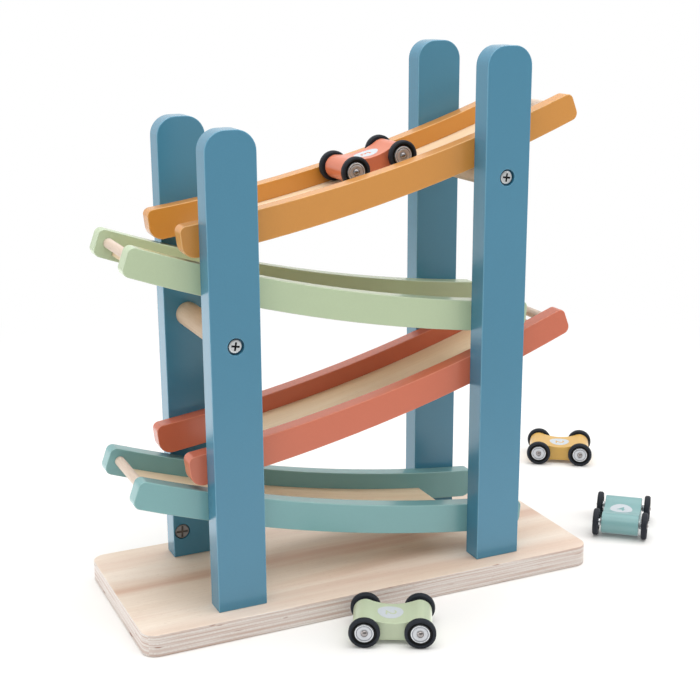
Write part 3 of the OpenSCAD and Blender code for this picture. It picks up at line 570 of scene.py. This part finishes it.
dressPlate("base_board", board, 2)
for nodeName in nodes:
    if nodeName.endswith("_post"):
        dressPost(nodeName)
    elif nodeName.endswith("_rail"):
        dressPlate(nodeName, rails, 1)
    elif nodeName.endswith("_deck"):
        dressDeck(nodeName)
print("board, posts, rails and decks dressed")


roundSides = 96
rounding = {"from": 24, "steps": 2}   # degrees at an edge that is rounded, and the round's steps


def turnedPiece(name, turned):   # a cylinder whose two ends are stepped in and out, round by round
    sides = turned.get("sides", roundSides)
    radius, bottom, top = turned["radius"], turned["from"], turned["to"]
    bpy.ops.object.select_all(action="DESELECT")
    bpy.ops.mesh.primitive_cylinder_add(vertices=sides, radius=radius * mm, depth=(top - bottom) * mm,
                                        location=(0, 0, (top + bottom) / 2 * mm))
    piece = bpy.context.object
    piece.name = name
    bpy.ops.object.transform_apply(location=True, rotation=True, scale=True)
    for end, start, rounds in ((1, top, turned.get("upper", ())), (-1, bottom, turned.get("lower", ()))):
        work = editMode("FACE")
        for face in work.faces:
            face.select_set(len(face.verts) == sides and face.normal.z * end > straight)
        bmesh.update_edit_mesh(piece.data)
        now, height = radius, start
        for nextRadius, nextHeight in rounds:
            move = (0, 0, (nextHeight - height) * mm)
            if nextRadius == now:
                bpy.ops.mesh.extrude_region_move(TRANSFORM_OT_translate={"value": move})
            else:
                bpy.ops.mesh.inset(thickness=(now - nextRadius) * mm * math.cos(math.pi / sides))
                bpy.ops.transform.translate(value=move)
            now, height = nextRadius, nextHeight
        objectMode()
    if turned.get("open"):   # a ring: the two caps go and their rims are bridged
        work = editMode("FACE")
        for face in work.faces:
            face.select_set(len(face.verts) == sides)
        bmesh.update_edit_mesh(piece.data)
        bpy.ops.mesh.delete(type="ONLY_FACE")
        bpy.ops.mesh.select_mode(type="EDGE")
        bpy.ops.mesh.select_non_manifold()
        bpy.ops.mesh.bridge_edge_loops()
        objectMode()
    if turned.get("round"):
        roundEdges(piece, turned["round"])
    return piece


def roundEdges(piece, width):
    only(piece)
    bpy.ops.object.modifier_add(type="BEVEL")
    bevel = piece.modifiers[-1]
    bevel.width, bevel.segments = width * mm, rounding["steps"]
    bevel.angle_limit, bevel.use_clamp_overlap = math.radians(rounding["from"]), True
    bpy.ops.object.modifier_apply(modifier=bevel.name)


def placed(source, name, place):   # a copy with its own mesh, its place in the mesh
    piece = bpy.data.objects.new(name, source.data.copy())
    bpy.context.scene.collection.objects.link(piece)
    piece.data.transform(place)
    return piece


def joined(name, *pieces):
    only(*pieces)
    bpy.ops.object.join()
    piece = bpy.context.object
    piece.name = piece.data.name = name
    return piece


def discard(*pieces):
    for piece in pieces:
        bpy.data.objects.remove(piece)


crossMargins = {"rim": 0.05, "floor": 0.1}   # millimetres: a cross is marked from below its rim to past its floor


def crossCut(piece, cross):   # a cross recess, each arm narrower at its floor
    bars = []
    for turn in (0, 90):
        bpy.ops.object.select_all(action="DESELECT")
        bpy.ops.mesh.primitive_cube_add(size=1, location=(0, 0, cross["top"] * mm),
                                        rotation=(0, 0, math.radians(turn + cross["turn"])))
        bar = bpy.context.object
        bar.scale = (cross["length"] * mm, cross["width"] * mm, 2 * cross["depth"] * mm)
        bpy.ops.object.transform_apply(location=True, rotation=True, scale=True)
        work = editMode("FACE")
        for face in work.faces:
            face.select_set(face.normal.z < -straight)
        bmesh.update_edit_mesh(bar.data)
        bpy.ops.transform.resize(value=(cross["taper"], cross["taper"], 1))
        objectMode()
        bars.append(bar)
    for bar in bars:
        only(piece)
        bpy.ops.object.modifier_add(type="BOOLEAN")
        cut = piece.modifiers[-1]
        cut.operation, cut.object, cut.solver = "DIFFERENCE", bar, "EXACT"
        bpy.ops.object.modifier_apply(modifier=cut.name)
        discard(bar)
    # The cross's faces are marked for painted shade, darker down in the recess.
    top = (cross["top"] - crossMargins["rim"]) * mm
    floor = (cross["top"] - cross["depth"] - crossMargins["floor"]) * mm
    markFaces(piece, "recess", lambda face: floor < face.center.z < top
              and face.center.xy.length < cross["length"] / 2 * mm)


# Screws face outwards and cam nuts inwards. Heights are in millimetres from a head's seat up to its face,
# and turns in degrees, as the driver left them.
screw = {"name": "spacer_screw", "radius": 4, "from": 0, "to": 1.6,
         "upper": ((3.85, 1.95), (3.5, 2.13), (3.0, 2.2)),
         "lower": ((3.6, 0), (2, -0.9), (2, -26), (0.6, -28)),
         "cross": {"top": 2.2, "length": 5.9, "width": 1.35, "depth": 1.7, "taper": 0.7, "turn": 0},
         "outwards": 1, "turns": (-10, 13, -8, 62)}
camNut = {"name": "cam_nut", "radius": 4.5, "from": 0, "to": 10.2,
          "upper": ((4.3, 10.4), (4.1, 10.5)), "lower": ((4.2, 0),),
          "cross": {"top": 10.5, "length": 8.4, "width": 1.5, "depth": 0.7, "taper": 0.8, "turn": -2},
          "outwards": -1, "turns": (0, 0, 0, 0)}


def faceUp(face, outward, depth):   # from a piece's own frame to a bore whose mouth looks outward
    side = outward.cross(Vector((0, 0, 1))) * -1
    place = Matrix((side, Vector((0, 0, 1)), outward)).transposed().to_4x4()
    place.translation = face - outward * depth * mm
    return place


def addFasteners(nodeName, fastener):   # one for each solid of the node, facing out of the bore that holds it
    slot = slotOf[nodeName]
    master = turnedPiece(fastener["name"], fastener)
    crossCut(master, fastener["cross"])
    for i, (low, high) in enumerate(solidsOf(nodeName)):
        side = -fastener["outwards"] if low.y + high.y < 0 else fastener["outwards"]   # faces this way along Y
        face = Vector(((low.x + high.x) / 2, high.y if side > 0 else low.y, (low.z + high.z) / 2))
        place = faceUp(face, Vector((0, side, 0)), fastener["upper"][-1][1])
        turn = Matrix.Rotation(math.radians(fastener["turns"][i]), 4, "Z")
        piece = placed(master, f"{fastener['name']}_{i + 1}", place @ turn)
        smoothFaces(piece, "turned")
        settle(piece, "stand", finishes[slot], slot, nodeName)
    discard(master)


addFasteners("spacer_screws", screw)
addFasteners("cam_nuts", camNut)
print("screws and cam nuts set")


# Cars, in millimetres. Wheels are turned about their axle, from the tyre's inner side outwards. Their
# recesses are marked for painted shade above a height, out to a radius or between two.
tyre = {"radius": 9.2, "from": 0.9, "to": 3.1, "open": True, "round": 0.2,
        "upper": ((8.45, 3.85), (8.15, 4.0), (7.5, 4.0), (7.15, 3.0), (6.9, 2.6), (5.76, 2.5)),
        "lower": ((8.3, 0.0), (5.76, 0.0)), "recessAbove": 2, "recess": 7.1}
hub = {"radius": 5.6, "from": 0.45, "to": 3.2, "round": 0.06,
       "upper": ((5.45, 3.45), (5.2, 3.55), (4.9, 3.5), (4.75, 3.1), (4.35, 3.1), (4.2, 3.45), (3.9, 3.52),
                 (2.9, 3.45), (2.45, 3.3), (1.4, 3.3)),
       "lower": ((2.35, 0.45), (2.35, -1.5), (1.55, -1.5)),
       "recessAbove": 3.0, "groove": (4.3, 4.8), "cup": 4.2, "cupShade": 0.4}
axle = {"radius": 1.5, "sides": 48, "reach": 17.85, "capRadius": 2.05, "capSides": 64, "capRim": 0.1,
        "capRise": 1.2, "capRounds": (1.98, 1.8, 1.55, 1.25, 0.9, 0.5, 0.2, 0.1)}
wheelInside = 14.3   # from a car's middle plane to the inner side of its tyres
bodies = {"edge": 0.4, "steps": 3, "width": 25}
# Print is drawn above a car, cut into strips and draped. A digit's height is a share of its font's size.
roundel = {"radius": 7.6, "above": 25, "strip": 0.5, "lift": 0.05, "skin": 0.03}
numeral = {"height": 6.7, "sizeShare": 0.72, "thickened": 0.05, "widened": 1.28, "lift": 0.075, "skin": 0.03}

# Solid beech bodies, sprayed with satin acrylic lacquer; a little of the wood's line shows across the car.
carPaint = {**spray, "roughness": 0.28, "ior": 1.5, "plies": (2.2, 160, 2.2), "cloudy": 0.10,
            "stippled": 0.10, "plied": 0.18, "edgeShare": 0.2}
# Each car's edge colour lies on its eased edges: partly thinner paint, partly a painted highlight.
cars = {
    "red_car": {"colour": "#CD7353", "edge": "#E99A7C", "number": "3", "along": 0.0, "across": 0.0},
    "green_car": {"colour": "#BCC8AA", "edge": "#CDD9B8", "number": "2", "along": -1.2, "across": 1.0},
    "yellow_car": {"colour": "#CEA249", "edge": "#EBCB88", "number": "2", "along": 0.0, "across": 0.0},
    "teal_car": {"colour": "#7BA6A7", "edge": "#ACCECD", "number": "4", "along": 0.0, "across": 0.7},
}


def carPlace(carName):   # a car's own frame: X forwards, Z up, its tyres on height zero
    ends = []
    for end in ("front", "rear"):
        low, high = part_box(f"{carName}_{end}_axle")
        ends.append((low + high) / 2)
    forward = (ends[0] - ends[1]).normalized()
    side = Vector((0, 0, 1)).cross(forward).normalized()
    up = forward.cross(side)
    place = Matrix((forward, side, up)).transposed().to_4x4()
    place.translation = (ends[0] + ends[1]) / 2 - up * tyre["radius"] * mm
    return place, (ends[0] - ends[1]).length / 2


def makeAxle():
    reach, wide, rise = axle["reach"], axle["capRadius"], axle["capRise"]
    ball = (wide ** 2 + rise ** 2) / (2 * rise)   # radius of the sphere that the domed end belongs to
    dome = tuple((r, reach + rise - ball + math.sqrt(ball ** 2 - r * r)) for r in axle["capRounds"])
    rod = turnedPiece("axle_rod", {"radius": axle["radius"], "from": -reach, "to": reach,
                                   "sides": axle["sides"]})
    cap = turnedPiece("axle_cap", {"radius": wide, "from": reach, "to": reach + axle["capRim"],
                                   "sides": axle["capSides"], "upper": dome})
    other = placed(cap, "axle_cap_other", Matrix.Rotation(math.pi, 4, "X"))
    return joined("car_axle", rod, cap, other)


def addWheels(carName, place, halfBase, masters):
    for end, ahead in (("front", 1), ("rear", -1)):
        body = f"{carName}_{end}_wheels"
        centre = place @ Matrix.Translation((ahead * halfBase, 0, tyre["radius"] * mm))
        for part, slot in (("tyres", "tyre_rubber"), ("hubs", "silver_hub_plastic")):
            pair = []
            for side in (1, -1):
                outward = centre @ Matrix.Rotation(math.radians(-90 * side), 4, "X")
                pair.append(placed(masters[part], f"{carName}_{end}_{part}_{side}",
                                   outward @ Matrix.Translation((0, 0, wheelInside * mm))))
            piece = joined(f"{carName}_{end}_{part}_dressed", *pair)
            smoothFaces(piece, "turned")
            settle(piece, body, finishes[slot], slot, f"{carName}_{end}_{part}")
        piece = placed(masters["axle"], f"{carName}_{end}_axle_dressed",
                       centre @ Matrix.Rotation(math.radians(-90), 4, "X"))
        smoothFaces(piece, "domed")
        settle(piece, body, finishes["axle_steel"], "axle_steel", f"{carName}_{end}_axle")


def drape(piece, body, lift, skin):   # down on to the saddle, then given the thickness of ink
    only(piece)
    bpy.ops.object.modifier_add(type="SHRINKWRAP")
    wrap = piece.modifiers[-1]
    wrap.target, wrap.wrap_method, wrap.offset = body, "PROJECT", lift * mm
    wrap.use_project_z, wrap.use_negative_direction, wrap.use_positive_direction = True, True, False
    bpy.ops.object.modifier_apply(modifier=wrap.name)
    bpy.ops.object.modifier_add(type="SOLIDIFY")
    piece.modifiers[-1].thickness, piece.modifiers[-1].offset = skin * mm, 0
    bpy.ops.object.modifier_apply(modifier=piece.modifiers[-1].name)


def sliced(piece, reach, step):   # cut into strips across the car, so that it can follow the saddle
    only(piece)
    bpy.ops.object.mode_set(mode="EDIT")
    for i in range(-int(reach / step), int(reach / step) + 1):
        bpy.ops.mesh.select_all(action="SELECT")
        bpy.ops.mesh.bisect(plane_co=(i * step * mm, 0, 0), plane_no=(1, 0, 0))
    bpy.ops.object.mode_set(mode="OBJECT")


def addRoundel(carName, car, place, body):
    above = (0, 0, roundel["above"] * mm)
    bpy.ops.object.select_all(action="DESELECT")
    bpy.ops.mesh.primitive_circle_add(vertices=roundSides, radius=roundel["radius"] * mm, fill_type="NGON",
                                      location=above)
    disc = bpy.context.object
    bpy.ops.object.select_all(action="DESELECT")
    bpy.ops.object.text_add(location=above, rotation=(0, 0, math.radians(-90)))
    digit = bpy.context.object
    digit.data.body, digit.data.size = car["number"], numeral["height"] / numeral["sizeShare"] * mm
    digit.data.align_x, digit.data.align_y = "CENTER", "CENTER"
    digit.data.offset = numeral["thickened"] * mm
    bpy.ops.object.convert(target="MESH")
    digit = bpy.context.object
    digit.scale.x = numeral["widened"]
    for piece, mark, title, finish in (
            (disc, roundel, "_roundel", finishes["print_white"]), (digit, numeral, "_number", finishes[carName])):
        only(piece)
        piece.name = carName + title
        bpy.ops.object.transform_apply(location=True, rotation=True, scale=True)
        sliced(piece, roundel["radius"], roundel["strip"])
        piece.data.transform(Matrix.Translation((car["along"] * mm, car["across"] * mm, 0)))
        drape(piece, body, mark["lift"], mark["skin"])
        piece.data.transform(place)
        only(piece)
        bpy.ops.object.shade_smooth_by_angle(angle=math.radians(crispFrom["printed"]))
        settle(piece, carName, finish, slotOf[carName + "_body"])


def addCarBody(carName, car, place):
    piece = wholeCopy(carName + "_body")
    piece.data.transform(place.inverted())
    easeEdges(piece, bodies["edge"], bodies["steps"], wallOf(1, bodies["width"]))
    smoothFaces(piece)
    addRoundel(carName, car, place, piece)
    piece.data.transform(place)
    slot = slotOf[carName + "_body"]
    settle(piece, carName, finishes[slot], slot, carName + "_body")


# Pad-printed ink: flat and matt, a little uneven; the number is left in the body's own colour.
ink = {"patches": (1.6, 1.6, 1.6), "roughness": 0.55, "ior": 1.4, "white": "#C4CBD1", "whiteUneven": 0.04,
       "digitUneven": 0.06}


def printedInk(name, hexColour, uneven):
    finish, tree, coords = newFinish(name)
    patch = put(tree, "TexNoise", {"Detail": 2, "Scale": 1, "Vector": put(
        tree, "Mapping", {"Vector": coords, "Scale": grainSize(*ink["patches"])})})
    colour = put(tree, "Mix", {"data_type": "RGBA", 0: patch, 6: linear(hexColour, 1 - uneven),
                               7: linear(hexColour, 1 + uneven)}, 2)
    put(tree, "OutputMaterial", {"Surface": put(tree, "BsdfPrincipled", {
        "Base Color": colour, "Roughness": ink["roughness"], "IOR": ink["ior"]})})
    return finish


def outTo(above, outer, inner=0):   # the faces above a height whose middles lie between two radii
    return lambda face: face.center.z > above * mm and inner * mm <= face.center.xy.length < outer * mm


finishes["print_white"] = printedInk("pad_printed_white_ink", ink["white"], ink["whiteUneven"])
masters = {"tyres": turnedPiece("tyre", tyre), "hubs": turnedPiece("hub", hub), "axle": makeAxle()}
# Painted shade: the tyre's recess next to the hub, the hub's ring groove, and its cup at a share.
markFaces(masters["tyres"], "recess", outTo(tyre["recessAbove"], tyre["recess"]))
markFaces(masters["hubs"], "recess", outTo(hub["recessAbove"], hub["groove"][1], hub["groove"][0]))
markFaces(masters["hubs"], "recess", outTo(hub["recessAbove"], hub["cup"]), hub["cupShade"])
for carName, car in cars.items():
    place, halfBase = carPlace(carName)
    slot = slotOf[carName + "_body"]
    finishes[slot] = sprayedPaint("satin_lacquer_" + slot, {**carPaint, **car}, place)
    finishes[carName] = printedInk("pad_printed_ink_" + carName, car["colour"], ink["digitUneven"])
    addCarBody(carName, car, place)
    addWheels(carName, place, halfBase, masters)
discard(*masters.values())
print("cars built")

# Dowels, pins and bolts stay as the CAD made them, and take their finish here.
for nodeName, node in nodes.items():
    if not node.hide_render:
        finish = "spacer_dowel" if nodeName.endswith("_spacer_dowel") else slotOf[nodeName]
        node.data.materials.clear()
        node.data.materials.append(finishes[finish])

bpy.context.view_layer.update()
